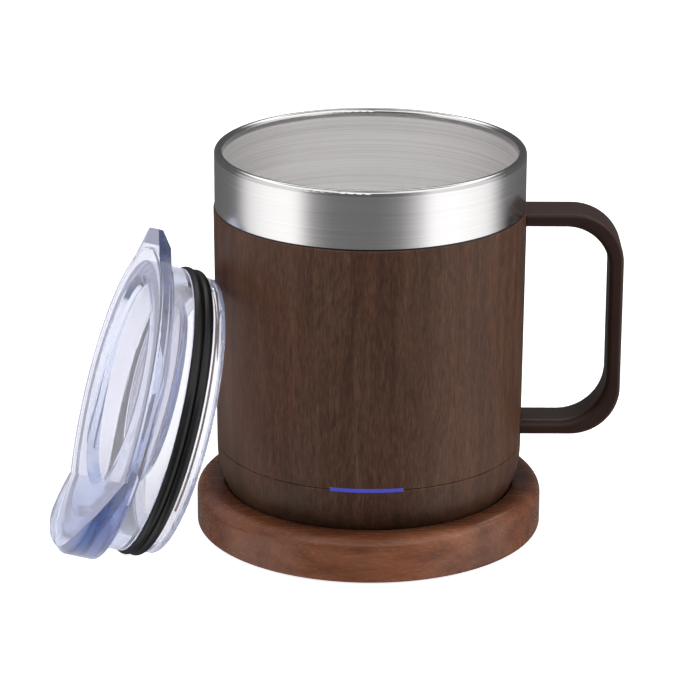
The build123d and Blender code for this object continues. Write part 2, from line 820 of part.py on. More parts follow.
with BuildPart() as foot_ring:
    with BuildSketch(Plane.XY.offset(foot_z)):
        Circle(foot_out)
        Circle(foot_in, mode=Mode.SUBTRACT)
    extrude(amount=plate_z + 0.8 - foot_z)
    fillet(foot_ring.faces().sort_by(Axis.Z)[0].edges(), 0.5)
foot_ring.part.label = "foot_ring"
export_step(foot_ring.part, "parts/foot_ring.step")

with BuildPart() as contact_ring_inner:
    with BuildSketch(Plane.XY.offset(ring_z)):
        Circle(ring_inner_r[1] - 0.02)
        Circle(ring_inner_r[0] + 0.02, mode=Mode.SUBTRACT)
    extrude(amount=plate_z + 1.2 - ring_z)
    with BuildSketch(Plane.XY.offset(plate_z + 1.0)):
        with Locations((0, 10.25)):
            Circle(0.88)
    extrude(amount=main_board_z - plate_z - 1.0)
contact_ring_inner.part.label = "contact_ring_inner"
export_step(contact_ring_inner.part, "parts/contact_ring_inner.step")

with BuildPart() as contact_ring_outer:
    with BuildSketch(Plane.XY.offset(ring_z)):
        Circle(ring_outer_r[1] - 0.02)
        Circle(ring_outer_r[0] + 0.02, mode=Mode.SUBTRACT)
    extrude(amount=plate_z + 1.2 - ring_z)
    with BuildSketch(Plane.XY.offset(plate_z + 1.0)):
        with Locations((0, -15.25)):
            Circle(0.88)
    extrude(amount=main_board_z - plate_z - 1.0)
contact_ring_outer.part.label = "contact_ring_outer"
export_step(contact_ring_outer.part, "parts/contact_ring_outer.step")

with BuildPart() as power_button:
    with BuildSketch(Plane.XZ):
        with BuildLine():
            Polyline(
                (0, 11.25),
                (4.2, 11.05),
                (button_r - 0.5, 11.05),
                (button_r, 11.55),
                (button_r, 12.96),
                (6.5, 12.96),
                (6.5, 13.6),
                (0, 13.6),
                (0, 11.25),
            )
        make_face()
    revolve(axis=Axis.Z)
power_button.part.label = "power_button"
export_step(power_button.part, "parts/power_button.step")

with BuildPart() as button_dome:
    with BuildSketch(Plane.XZ):
        with BuildLine():
            Polyline(
                (0, 13.64),
                (2.6, 13.64),
                (4.6, 15.1),
                (6.0, 15.1),
                (6.0, main_board_z - 0.02),
                (4.0, main_board_z - 0.02),
                (2.2, 14.3),
                (0, 14.3),
                (0, 13.64),
            )
        make_face()
    revolve(axis=Axis.Z)
button_dome.part.label = "button_dome"
export_step(button_dome.part, "parts/button_dome.step")

# =========================================================================
# Lid, built in its own plane so that it leans as it stands
# =========================================================================
def lid_point(turn, r, t=0.0):
    """A point of the lid at an angle from its upper end, a radius and a height on its axis."""
    side = lid_n.cross(lid_up)
    a = math.radians(turn)
    return lid_centre + (lid_up * math.cos(a) + side * math.sin(a)) * r + lid_n * t


def lid_radial(turn, origin=None):
    """A section plane through the lid's axis, radius along X and height along Y."""
    d = (lid_point(turn, 1.0) - lid_centre).normalized()
    return Plane(origin=origin or lid_centre, x_dir=d, z_dir=d.cross(lid_n))


with BuildPart() as lid_cover:
    # flange plate, neck and seal groove
    with BuildSketch(lid_section):
        with BuildLine():
            Polyline(
                (0, flange_low),
                (36.4, flange_low),
                (36.0, flange_low - 1.0),
                (36.0, groove_low),
                (groove_r, groove_low),
                (groove_r, groove_high),
                (neck_r, groove_high),
                (neck_r, flange_low),
                (flange_r - 0.5, flange_low),
                (flange_r, flange_low + 0.5),
                (flange_r, flange_top - 1.0),
            )
            RadiusArc((flange_r, flange_top - 1.0), (flange_r - 1.0, flange_top), -1.0)
            Polyline((flange_r - 1.0, flange_top), (0, flange_top), (0, flange_low))
        make_face()
    revolve(axis=lid_axis)
    # wall and floor of the dish, which sits towards the upper tab
    dish_axis = Axis(lid_point(tab_turn, dish_shift), lid_n)
    with BuildSketch(lid_radial(tab_turn, lid_point(tab_turn, dish_shift))):
        with BuildLine():
            Polyline((0, 1.6), (25.6, 1.6), (27.6, 3.0), (30.4, flange_low + 0.2), (0, flange_low + 0.2), (0, 1.6))
        make_face()
    revolve(axis=dish_axis)
    # raised lip to drink from, a ramp that climbs from a straight line to the edge
    lip_top = flange_top + lip_rise
    with BuildPart(mode=Mode.PRIVATE) as lip:
        with BuildSketch(lid_section) as lip_round:
            with BuildLine():
                Polyline(
                    (0, flange_top - 1.0),
                    (flange_r, flange_top - 1.0),
                    (flange_r, lip_top - 2.2),
                    (flange_r - 1.9, lip_top + 0.1),
                    (0, lip_top + 0.1),
                    (0, flange_top - 1.0),
                )
            make_face()
            fillet(lip_round.vertices().sort_by_distance((flange_r, lip_top - 2.2, 0))[0], 1.2)
        revolve(axis=lid_axis)
        with BuildSketch(lid_radial(lip_turn)) as lip_ramp:
            with BuildLine():
                Polyline(
                    (22.0, flange_top - 1.0),
                    (22.0, flange_top - 0.05),
                    (35.5, flange_top + 5.4),
                    (40.5, lip_top),
                    (46.0, lip_top),
                    (46.0, flange_top - 1.0),
                    (22.0, flange_top - 1.0),
                )
            make_face()
            fillet(lip_ramp.vertices().sort_by_distance((35.5, flange_top + 5.4, 0))[0], 6.0)
            fillet(lip_ramp.vertices().sort_by_distance((40.5, lip_top, 0))[0], 6.0)
        extrude(amount=60.0, both=True, mode=Mode.INTERSECT)
    add(lip.part)
    # lifting tab opposite the lip
    turn = math.radians(tab_turn)
    with BuildSketch(lid_plane.offset(flange_low + 0.2)) as tab_outline:
        with BuildLine():
            Polyline(
                *[
                    (x * math.cos(turn) - y * math.sin(turn), x * math.sin(turn) + y * math.cos(turn))
                    for x, y in ((39.5, -19.5), (tab_reach, -6.6), (tab_reach, 6.6), (39.5, 19.5), (39.5, -19.5))
                ]
            )
        make_face()
        fillet(tab_outline.vertices().filter_by(lambda v: math.hypot(v.X, v.Y) > 46.0), 2.6)
        Circle(41.5, mode=Mode.SUBTRACT)
    extrude(amount=flange_top - 0.3 - (flange_low + 0.2))
    # the tab thins towards its tip
    with BuildSketch(lid_radial(tab_turn)):
        with BuildLine():
            Polyline((44.7, flange_low), (51.0, flange_low), (51.0, flange_top - 1.3), (tab_reach, flange_top - 1.6), (44.7, flange_low))
        make_face()
    extrude(amount=26.0, both=True, mode=Mode.SUBTRACT)
    # hollow of the dish
    with BuildSketch(lid_radial(tab_turn, lid_point(tab_turn, dish_shift))):
        with BuildLine():
            Polyline((0, 4.8), (16.2, 4.8), (17.0, 4.0), (23.6, 4.0))
            RadiusArc((23.6, 4.0), (25.5, 5.2), -1.7)
            Polyline((25.5, 5.2), (28.6, flange_top - 1.6), (30.2, flange_top), (30.2, flange_top + 9.0), (0, flange_top + 9.0), (0, 4.8))
        make_face()
    revolve(axis=dish_axis, mode=Mode.SUBTRACT)
    # sip slot on the lip's side and a vent on the other
    slot_at, vent_at = -12.5, 25.5
    with BuildSketch(lid_plane.offset(0.5)):
        with Locations((slot_at * math.cos(turn), slot_at * math.sin(turn))):
            SlotOverall(14.0, 3.6, rotation=90 + tab_turn)
        with Locations((vent_at * math.cos(turn), vent_at * math.sin(turn))):
            Circle(1.1)
    extrude(amount=6.0, mode=Mode.SUBTRACT)
lid_cover.part.label = "lid_cover"
export_step(lid_cover.part, "parts/lid_cover.step")

with BuildPart() as lid_seal:
    with BuildSketch(lid_section):
        with BuildLine():
            Line((groove_r + 0.05, groove_low + 0.05), (groove_r + 0.05, groove_high - 0.05))
            Line((groove_r + 0.05, groove_high - 0.05), (40.1, groove_high - 0.05))
            ThreePointArc((40.1, groove_high - 0.05), (41.25, 1.2), (40.3, -0.35))
            ThreePointArc((40.3, -0.35), (41.05, -1.75), (40.0, groove_low + 0.2))
            Polyline((40.0, groove_low + 0.2), (39.7, groove_low + 0.05), (groove_r + 0.05, groove_low + 0.05))
        make_face()
    revolve(axis=lid_axis)
lid_seal.part.label = "lid_seal"
export_step(lid_seal.part, "parts/lid_seal.step")

with BuildPart() as lid_retainer:
    with BuildSketch(lid_section):
        with BuildLine():
            Polyline(
                (36.0, groove_low),
                (39.1, groove_low),
                (39.1, groove_low - 0.6),
                (plug_r, groove_low - 1.1),
                (plug_r, plug_bottom + 1.2),
            )
            RadiusArc((plug_r, plug_bottom + 1.2), (plug_r - 1.2, plug_bottom), 1.2)
            Polyline(
                (plug_r - 1.2, plug_bottom),
                (37.2, plug_bottom),
                (36.2, plug_bottom + 1.0),
                (36.0, -5.6),
                (36.0, groove_low),
            )
        make_face()
    revolve(axis=lid_axis)
lid_retainer.part.label = "lid_retainer"
export_step(lid_retainer.part, "parts/lid_retainer.step")
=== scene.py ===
import math

import bmesh
import bpy
from mathutils import Matrix, Vector


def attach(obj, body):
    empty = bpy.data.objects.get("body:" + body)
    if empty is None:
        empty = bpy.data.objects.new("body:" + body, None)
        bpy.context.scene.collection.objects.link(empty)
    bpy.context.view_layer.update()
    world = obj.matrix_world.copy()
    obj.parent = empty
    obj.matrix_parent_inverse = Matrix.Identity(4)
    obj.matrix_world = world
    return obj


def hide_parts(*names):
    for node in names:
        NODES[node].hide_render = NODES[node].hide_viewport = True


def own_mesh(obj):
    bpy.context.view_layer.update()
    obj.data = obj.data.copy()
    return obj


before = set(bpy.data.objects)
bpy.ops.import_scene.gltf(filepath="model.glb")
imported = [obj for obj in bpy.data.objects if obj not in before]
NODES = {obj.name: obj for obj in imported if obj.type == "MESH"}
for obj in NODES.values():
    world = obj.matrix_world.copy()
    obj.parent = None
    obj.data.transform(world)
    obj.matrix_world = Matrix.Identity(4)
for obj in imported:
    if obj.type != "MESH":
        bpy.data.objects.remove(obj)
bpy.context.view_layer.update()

scene = bpy.context.scene
scene.view_settings.view_transform = "Standard"
# clear plastic needs many turns of light inside its walls
scene.cycles.max_bounces = 18
scene.cycles.glossy_bounces = 10
scene.cycles.transmission_bounces = 18

# ------------------------------------------------------------------ node helpers


class Mat:
    """A material with a principled shader and short ways to add nodes."""

    def __init__(self, name):
        self.mat = bpy.data.materials.new(name)
        self.mat.use_nodes = True
        self.nt = self.mat.node_tree
        self.nt.nodes.clear()
        self.out = self.nt.nodes.new("ShaderNodeOutputMaterial")
        self.b = self.nt.nodes.new("ShaderNodeBsdfPrincipled")
        self.nt.links.new(self.b.outputs[0], self.out.inputs[0])
        self.tc = self.nt.nodes.new("ShaderNodeTexCoord")
        self.p = self.tc.outputs["Object"]

    def set(self, **kw):
        for k, v in kw.items():
            self.b.inputs[k.replace("_", " ")].default_value = v

    def to(self, value, socket):
        """value is a number, a tuple or an output socket."""
        if isinstance(value, (int, float, tuple, list)):
            socket.default_value = value
        else:
            self.nt.links.new(value, socket)

    def vec(self, op, a, b=None, scale=None):
        n = self.nt.nodes.new("ShaderNodeVectorMath")
        n.operation = op
        self.to(a, n.inputs[0])
        if b is not None:
            self.to(b, n.inputs[1])
        if scale is not None:
            self.to(scale, n.inputs["Scale"])
        return n.outputs["Value"] if op in ("LENGTH", "DOT_PRODUCT", "DISTANCE") else n.outputs[0]

    def math(self, op, a, b=0.0, c=0.0, clamp=False):
        n = self.nt.nodes.new("ShaderNodeMath")
        n.operation = op
        n.use_clamp = clamp
        self.to(a, n.inputs[0])
        self.to(b, n.inputs[1])
        self.to(c, n.inputs[2])
        return n.outputs[0]

    def xyz(self, v):
        n = self.nt.nodes.new("ShaderNodeSeparateXYZ")
        self.to(v, n.inputs[0])
        return n.outputs[0], n.outputs[1], n.outputs[2]

    def join(self, x, y, z):
        n = self.nt.nodes.new("ShaderNodeCombineXYZ")
        self.to(x, n.inputs[0])
        self.to(y, n.inputs[1])
        self.to(z, n.inputs[2])
        return n.outputs[0]

    def noise(self, v, stretch=(1, 1, 1), detail=2.0, rough=0.5, distortion=0.0, color=False):
        n = self.nt.nodes.new("ShaderNodeTexNoise")
        n.noise_dimensions = "3D"
        self.to(self.vec("MULTIPLY", v, stretch), n.inputs["Vector"])
        n.inputs["Scale"].default_value = 1.0
        n.inputs["Detail"].default_value = detail
        n.inputs["Roughness"].default_value = rough
        n.inputs["Distortion"].default_value = distortion
        return n.outputs["Color"] if color else n.outputs[0]

    def voronoi(self, v, stretch=(1, 1, 1), feature="F1"):
        n = self.nt.nodes.new("ShaderNodeTexVoronoi")
        n.feature = feature
        self.to(self.vec("MULTIPLY", v, stretch), n.inputs["Vector"])
        n.inputs["Scale"].default_value = 1.0
        return n.outputs["Distance"]

    def remap(self, v, a, b, c=0.0, d=1.0, smooth=False):
        n = self.nt.nodes.new("ShaderNodeMapRange")
        n.interpolation_type = "SMOOTHSTEP" if smooth else "LINEAR"
        n.clamp = True
        self.to(v, n.inputs[0])
        for i, x in enumerate((a, b, c, d)):
            self.to(x, n.inputs[1 + i])
        return n.outputs[0]

    def ramp(self, v, stops):
        n = self.nt.nodes.new("ShaderNodeValToRGB")
        e = n.color_ramp.elements
        while len(e) > 1:
            e.remove(e[-1])
        e[0].position, e[0].color = stops[0][0], (*stops[0][1], 1)
        for pos, col in stops[1:]:
            x = e.new(pos)
            x.color = (*col, 1)
        self.to(v, n.inputs[0])
        return n.outputs[0]

    def mix(self, fac, a, b, blend="MIX"):
        n = self.nt.nodes.new("ShaderNodeMix")
        n.data_type = "RGBA"
        n.blend_type = blend
        self.to(fac, n.inputs[0])
        self.to(a if not isinstance(a, tuple) else (*a, 1)[:4], n.inputs[6])
        self.to(b if not isinstance(b, tuple) else (*b, 1)[:4], n.inputs[7])
        return n.outputs[2]

    def bump(self, h, strength, distance, normal=None):
        n = self.nt.nodes.new("ShaderNodeBump")
        n.inputs["Strength"].default_value = strength
        n.inputs["Distance"].default_value = distance
        self.to(h, n.inputs["Height"])
        if normal is not None:
            self.to(normal, n.inputs["Normal"])
        return n.outputs[0]

    def color(self, v):
        self.to(v, self.b.inputs["Base Color"])

    def rough(self, v):
        self.to(v, self.b.inputs["Roughness"])

    def normal(self, v):
        self.to(v, self.b.inputs["Normal"])


# ------------------------------------------------------------------ materials


def wood_print():
    """Dark walnut grain, upright round the sleeve, with soft slanting figure."""
    m = Mat("walnut_print")
    p = m.p
    sway = m.vec("SUBTRACT", m.noise(p, (55, 55, 26), 2.0, 0.55, color=True), (0.5, 0.5, 0.5))
    pw = m.vec("ADD", p, m.vec("MULTIPLY", sway, (0.0050, 0.0050, 0.0)))
    fine = m.noise(pw, (2100, 2100, 330), 3.0, 0.62)
    fleck = m.noise(pw, (1500, 1500, 230), 2.0, 0.5)
    streak = m.noise(pw, (330, 330, 15), 3.0, 0.6)
    x, y, z = m.xyz(p)
    lean = m.join(m.math("ADD", x, m.math("MULTIPLY", z, 0.55)), y, m.math("MULTIPLY", z, 0.22))
    figure = m.noise(lean, (46, 46, 46), 2.0, 0.5, 0.4)
    tone = m.math("ADD", m.math("MULTIPLY", fine, 0.55), m.math("MULTIPLY", streak, 0.45))
    base = m.ramp(tone, [(0.29, (0.028, 0.0115, 0.0060)), (0.47, (0.061, 0.0268, 0.0148)), (0.60, (0.091, 0.0430, 0.0250)), (0.77, (0.146, 0.0745, 0.0455))])
    dash = m.remap(fleck, 0.55, 0.68, 0.0, 0.5, True)
    base = m.mix(dash, base, (0.030, 0.0145, 0.0092))
    band = m.remap(figure, 0.34, 0.54, 0.80, 1.0, True)
    warm = m.remap(m.noise(p, (40, 40, 14), 1.0, 0.5), 0.42, 0.62, 0.0, 0.5, True)
    base = m.mix(warm, base, m.mix(1.0, base, (1.10, 0.91, 0.78), "MULTIPLY"))
    # a faint painted shadow of the lid: a darker band slants down across the left of the front
    turn = m.math("ARCTAN2", x, m.math("MULTIPLY", y, -1.0))
    arc = m.math("MULTIPLY", turn, 0.0437)
    wander = m.math("MULTIPLY", m.math("SUBTRACT", m.noise(p, (60, 60, 60), 2.0, 0.5), 0.5), 0.007)
    across = m.math("ADD", m.math("MULTIPLY", m.math("ADD", z, -0.077), 0.625), m.math("MULTIPLY", m.math("ADD", arc, 0.0549), 0.781))
    across = m.math("ABSOLUTE", m.math("ADD", across, wander))
    lid_shadow_band = m.math("MULTIPLY", m.remap(across, 0.0006, 0.0042, 1.0, 0.0, True), m.remap(arc, -0.024, -0.012, 1.0, 0.0, True))
    lid_shadow_band = m.math("MULTIPLY", lid_shadow_band, m.remap(arc, -0.075, -0.062, 0.0, 1.0, True))
    # painted shade: the print darkens towards the foot, where the coaster shades it
    foot = m.remap(z, 0.012, 0.030, 0.60, 1.0, True)
    # painted light: the colour is lightened along the seam groove, so the groove's own shade looks fainter
    seam = m.remap(m.math("ABSOLUTE", m.math("SUBTRACT", z, 0.02558)), 0.00020, 0.00045, 1.45, 1.0, True)
    shade = m.math("MULTIPLY", m.math("MULTIPLY", band, m.math("MULTIPLY", foot, seam)), m.math("SUBTRACT", 1.0, m.math("MULTIPLY", lid_shadow_band, 0.10)))
    base = m.mix(1.0, base, m.join(shade, shade, shade), "MULTIPLY")
    m.color(base)
    m.rough(m.remap(fine, 0.3, 0.7, 0.42, 0.54))
    m.set(Specular_IOR_Level=0.20)
    h = m.math("ADD", m.math("MULTIPLY", fine, 0.7), m.math("MULTIPLY", dash, -0.9))
    m.normal(m.bump(h, 0.42, 0.00014))
    return m.mat


def coaster_wood():
    """Reddish brown solid wood, grain across the disc, with painted shade round the recess and towards its left and
    right ends.
    """
    m = Mat("coaster_wood")
    p = m.p
    sway = m.vec("SUBTRACT", m.noise(p, (22, 45, 60), 2.0, 0.5, color=True), (0.5, 0.5, 0.5))
    pw = m.vec("ADD", p, m.vec("MULTIPLY", sway, (0.0, 0.006, 0.004)))
    ring = m.noise(pw, (16, 230, 260), 3.0, 0.6)
    fine = m.noise(pw, (150, 1500, 1700), 3.0, 0.6)
    pore = m.noise(pw, (260, 2300, 2300), 1.0, 0.5)
    tone = m.math("ADD", m.math("MULTIPLY", ring, 0.72), m.math("MULTIPLY", fine, 0.28))
    base = m.ramp(tone, [(0.30, (0.108, 0.0330, 0.0148)), (0.47, (0.182, 0.0610, 0.0270)), (0.60, (0.228, 0.0830, 0.0385)), (0.76, (0.29, 0.122, 0.066))])
    blotch = m.remap(m.noise(p, (28, 44, 50), 2.0, 0.5), 0.38, 0.62, 0.78, 1.06, True)
    x, y, z = m.xyz(p)
    out = m.vec("LENGTH", m.join(x, y, 0.0))
    # painted shade: the top darkens towards the recess, where the mug shades it
    painted_recess_shade = m.remap(out, 0.0415, 0.0490, 0.46, 1.0, True)
    # painted shade: the disc darkens towards its left and right ends
    pale = m.remap(m.math("ABSOLUTE", x), 0.020, 0.049, 1.0, 0.72, True)
    shade = m.math("MULTIPLY", m.math("MULTIPLY", blotch, painted_recess_shade), pale)
    base = m.mix(1.0, base, m.join(shade, shade, shade), "MULTIPLY")
    dash = m.remap(pore, 0.60, 0.73, 0.0, 0.32, True)
    base = m.mix(dash, base, (0.060, 0.020, 0.010))
    m.color(base)
    m.rough(m.remap(fine, 0.3, 0.7, 0.20, 0.30))
    m.set(Specular_IOR_Level=0.24)
    h = m.math("ADD", m.math("MULTIPLY", fine, 0.6), m.math("MULTIPLY", dash, -1.0))
    m.normal(m.bump(h, 0.20, 0.00012))
    return m.mat


def handle_plastic():
    """Satin dark brown with a fine moulded grain."""
    m = Mat("handle_brown")
    p = m.p
    grain = m.noise(p, (2600, 2600, 2600), 2.0, 0.5)
    cloud = m.noise(p, (70, 70, 70), 2.0, 0.5)
    base = m.ramp(cloud, [(0.3, (0.0265, 0.0111, 0.0074)), (0.7, (0.0375, 0.0164, 0.0112))])
    m.color(m.mix(m.remap(grain, 0.45, 0.75, 0.0, 0.25), base, (0.042, 0.025, 0.020)))
    m.rough(m.remap(grain, 0.3, 0.7, 0.34, 0.44))
    m.set(Specular_IOR_Level=0.19)
    m.normal(m.bump(grain, 0.10, 0.00008))
    return m.mat


def brushed_steel(name, tint, rough, rim=None):
    """Turned and brushed round the axis, so the lines run level. Above rim it is polished, and its colour is
    painted darker to tone down the rim's bright reflections.
    """
    m = Mat(name)
    p = m.p
    line = m.noise(p, (14, 14, 5200), 2.0, 0.7)
    broad = m.noise(p, (10, 10, 900), 2.0, 0.6)
    mix = m.math("ADD", m.math("MULTIPLY", line, 0.7), m.math("MULTIPLY", broad, 0.3))
    lo = tuple(c * (0.82 if rim else 0.95) for c in tint)
    hi = tuple(min(1.0, c * (1.10 if rim else 1.04)) for c in tint)
    shade = m.ramp(mix, [(0.35, lo), (0.5, tint), (0.65, hi)])
    # painted shade: above the rim the colour is darkened to 0.46 of the tint, toning down the polished rim's
    # reflections
    if rim:
        shade = m.mix(m.remap(m.xyz(p)[2], rim - 0.0006, rim, 0.0, 1.0, True), shade, tuple(c * 0.46 for c in tint))
    m.color(shade)
    grit = m.remap(mix, 0.3, 0.7, rough - 0.03, rough + 0.04)
    if rim:
        grit = m.math("MULTIPLY", grit, m.remap(m.xyz(p)[2], rim - 0.0006, rim, 1.0, 0.45, True))
    m.rough(grit)
    m.set(Metallic=1.0, Anisotropic=0.35)
    t = m.nt.nodes.new("ShaderNodeTangent")
    t.direction_type = "RADIAL"
    t.axis = "Z"
    m.nt.links.new(t.outputs[0], m.b.inputs["Tangent"])
    m.normal(m.bump(mix, 0.03, 0.00004))
    return m.mat


def plain_metal(name, tint, rough, scratch=(900, 900, 900)):
    m = Mat(name)
    n = m.noise(m.p, scratch, 3.0, 0.65)
    s = m.noise(m.p, (300, 4000, 4000), 2.0, 0.6)
    mix = m.math("ADD", m.math("MULTIPLY", n, 0.5), m.math("MULTIPLY", s, 0.5))
    m.color(m.ramp(mix, [(0.35, tuple(c * 0.82 for c in tint)), (0.65, tuple(min(1, c * 1.1) for c in tint))]))
    m.rough(m.remap(mix, 0.3, 0.7, rough - 0.07, rough + 0.08))
    m.set(Metallic=1.0)
    m.normal(m.bump(mix, 0.05, 0.00005))
    return m.mat


def silicone(name, dark=(0.0035, 0.0035, 0.0042), light=(0.0075, 0.0075, 0.0085)):
    m = Mat(name)
    n = m.noise(m.p, (1800, 1800, 1800), 3.0, 0.6)
    c = m.noise(m.p, (120, 120, 120), 2.0, 0.5)
    m.color(m.ramp(m.math("ADD", m.math("MULTIPLY", n, 0.5), m.math("MULTIPLY", c, 0.5)), [(0.35, dark), (0.65, light)]))
    m.rough(m.remap(c, 0.3, 0.7, 0.34, 0.46))
    m.set(Specular_IOR_Level=0.25)
    m.normal(m.bump(n, 0.06, 0.00006))
    return m.mat


def moulded(name, dark, light, rough=0.5, size=2400.0):
    m = Mat(name)
    n = m.noise(m.p, (size, size, size), 2.0, 0.55)
    c = m.noise(m.p, (90, 90, 90), 2.0, 0.5)
    m.color(m.ramp(m.math("ADD", m.math("MULTIPLY", n, 0.45), m.math("MULTIPLY", c, 0.55)), [(0.35, dark), (0.65, light)]))
    m.rough(m.remap(n, 0.3, 0.7, rough - 0.06, rough + 0.08))
    m.normal(m.bump(n, 0.18, 0.00007))
    return m.mat


def clear_plastic(name, through=0.91):
    """Clear moulded plastic with a pale cool tint, bluer where it is thick, with a painted blue-grey shade on the
    tab and the lip's outer wall.
    """
    m = Mat(name)
    flow = m.noise(m.p, (55, 55, 55), 2.0, 0.5, 0.8)
    haze = m.noise(m.p, (260, 260, 260), 3.0, 0.6)
    tint = m.ramp(flow, [(0.35, (0.955, 0.938, 0.952)), (0.65, (0.972, 0.955, 0.967))])
    # painted shade: the lifting tab and the lip's outer wall get a blue-grey colour where their faces turn
    # sideways, standing in for the deeper colour that thick plastic shows
    rel = m.vec("SUBTRACT", m.p, (-0.0592, -0.0191, 0.03995))
    axis = (-0.94071, -0.17945, 0.28786)
    high = m.vec("DOT_PRODUCT", rel, axis)
    out = m.vec("LENGTH", m.vec("SUBTRACT", rel, m.vec("SCALE", axis, scale=high)))
    tab = m.remap(out, 0.0446, 0.0458, 0.0, 1.0, True)
    wall = m.math("MULTIPLY", m.remap(out, 0.0436, 0.0445, 0.0, 1.0, True), m.remap(high, 0.0136, 0.0152, 0.0, 1.0, True))
    level = m.math("ABSOLUTE", m.vec("DOT_PRODUCT", m.tc.outputs["Normal"], axis))
    painted_thick_shade = m.math("MULTIPLY", m.math("MAXIMUM", tab, wall), m.remap(level, 0.55, 0.85, 0.92, 0.20, True))
    m.color(m.mix(painted_thick_shade, tint, (0.27, 0.39, 0.58)))
    m.rough(m.remap(haze, 0.42, 0.75, 0.0, 0.003))
    m.set(IOR=1.49, Transmission_Weight=through)
    v = m.nt.nodes.new("ShaderNodeVolumeAbsorption")
    v.inputs["Color"].default_value = (0.30, 0.42, 0.72, 1)
    v.inputs["Density"].default_value = 45.0
    m.nt.links.new(v.outputs[0], m.out.inputs["Volume"])
    m.normal(m.bump(flow, 0.012, 0.0006))
    return m.mat


def light_window():
    """Blue window, lit from behind, brightest along its middle."""
    m = Mat("light_window")
    x, y, z = m.xyz(m.p)
    spread = m.noise(m.p, (420, 420, 420), 2.0, 0.5)
    along = m.math("ABSOLUTE", m.math("ADD", x, 0.0008))
    fade = m.remap(along, 0.0, 0.0125, 1.0, 0.80, True)
    mid = m.math("ABSOLUTE", m.math("SUBTRACT", z, 0.02558))
    core = m.remap(mid, 0.00028, 0.00068, 1.0, 0.0, True)
    v = m.math("MULTIPLY", m.math("MULTIPLY", fade, core), m.remap(spread, 0.3, 0.7, 0.94, 1.05))
    col = m.ramp(v, [(0.0, (0.030, 0.026, 0.110)), (0.45, (0.055, 0.056, 0.34)), (0.85, (0.048, 0.053, 0.56)), (1.0, (0.050, 0.058, 0.66))])
    m.color(m.mix(0.6, col, (0.03, 0.03, 0.10)))
    m.to(col, m.b.inputs["Emission Color"])
    m.set(Emission_Strength=0.36, Roughness=0.35)
    return m.mat


def circuit_board():
    m = Mat("circuit_board")
    t = m.voronoi(m.p, (700, 700, 10))
    n = m.noise(m.p, (900, 900, 900), 2.0, 0.5)
    trace = m.remap(t, 0.18, 0.26, 1.0, 0.0, True)
    m.color(m.mix(m.math("MULTIPLY", trace, 0.6), m.ramp(n, [(0.35, (0.010, 0.070, 0.030)), (0.65, (0.018, 0.11, 0.05))]), (0.05, 0.26, 0.11)))
    m.rough(m.remap(n, 0.3, 0.7, 0.30, 0.45))
    m.normal(m.bump(trace, 0.1, 0.00004))
    return m.mat


def felt():
    m = Mat("felt_grey")
    n = m.noise(m.p, (1500, 1500, 1500), 4.0, 0.7)
    m.color(m.ramp(n, [(0.35, (0.13, 0.13, 0.125)), (0.65, (0.30, 0.30, 0.29))]))
    m.set(Roughness=0.95)
    m.normal(m.bump(n, 0.4, 0.0003))
    return m.mat


WALNUT = wood_print()
COASTER = coaster_wood()
HANDLE = handle_plastic()
BAND = brushed_steel("brushed_band", (0.62, 0.605, 0.605), 0.20)
CUP = brushed_steel("brushed_cup", (0.93, 0.92, 0.916), 0.30, 0.1096)
SILICONE = silicone("black_silicone")
PLASTIC = moulded("black_plastic", (0.012, 0.012, 0.013), (0.026, 0.026, 0.028), 0.48)
WHITE_PLASTIC = moulded("natural_plastic", (0.52, 0.52, 0.50), (0.64, 0.64, 0.62), 0.5)
CLEAR = clear_plastic("clear_lid")
LIGHT = light_window()
GOLD = plain_metal("gold_contact", (0.86, 0.62, 0.26), 0.24)
ZINC = plain_metal("zinc_steel", (0.55, 0.55, 0.57), 0.34)
FOIL = plain_metal("foil", (0.78, 0.79, 0.80), 0.3, (300, 300, 300))
BOARD = circuit_board()
CHIP = moulded("chip_black", (0.010, 0.010, 0.012), (0.020, 0.020, 0.022), 0.42)
CELL = moulded("cell_wrap", (0.012, 0.050, 0.17), (0.020, 0.075, 0.23), 0.3, 700.0)
AMBER = moulded("amber_film", (0.30, 0.11, 0.012), (0.42, 0.17, 0.025), 0.28, 900.0)
LED = moulded("led_chip", (0.70, 0.70, 0.60), (0.80, 0.80, 0.72), 0.3)
FELT = felt()
LEAD = moulded("red_lead", (0.25, 0.008, 0.008), (0.36, 0.016, 0.014), 0.42)

LOOK = {
    "coaster_top": COASTER, "coaster_pad": SILICONE, "coaster_cover": PLASTIC, "coaster_screws": ZINC,
    "coaster_board": BOARD, "usb_inlet": ZINC, "charging_puck": PLASTIC, "pin_barrels": GOLD,
    "charging_pin_inner": GOLD, "charging_pin_outer": GOLD, "pin_spring_inner": ZINC, "pin_spring_outer": ZINC,
    "inner_cup": CUP, "steel_band": BAND, "seam_gasket": SILICONE, "outer_shell": WALNUT, "base_cap": WALNUT,
    "handle": HANDLE, "handle_screws": ZINC, "light_bar": LIGHT, "led_board": BOARD, "led_chips": LED,
    "insulation_sleeve": FOIL, "heater_film": AMBER, "heater_insulation": FELT, "temperature_sensor": CHIP,
    "heater_leads": LEAD, "clamp_plate": WHITE_PLASTIC, "clamp_screws": ZINC, "battery_cells": CELL,
    "battery_tray": WHITE_PLASTIC, "control_board": BOARD, "board_components": CHIP, "base_plate": PLASTIC,
    "base_seal": SILICONE, "base_screws": ZINC, "contact_ring_inner": GOLD, "contact_ring_outer": GOLD,
    "foot_ring": SILICONE, "power_button": PLASTIC, "button_dome": SILICONE,
    "lid_cover": CLEAR, "lid_seal": SILICONE, "lid_retainer": CLEAR,
}
for name, look in LOOK.items():
    data = NODES[name].data
    data.materials.clear()
    data.materials.append(look)
# light passes through the clear pieces, so only the gasket throws a shadow
for name in ("lid_cover", "lid_retainer"):
    NODES[name].visible_shadow = False


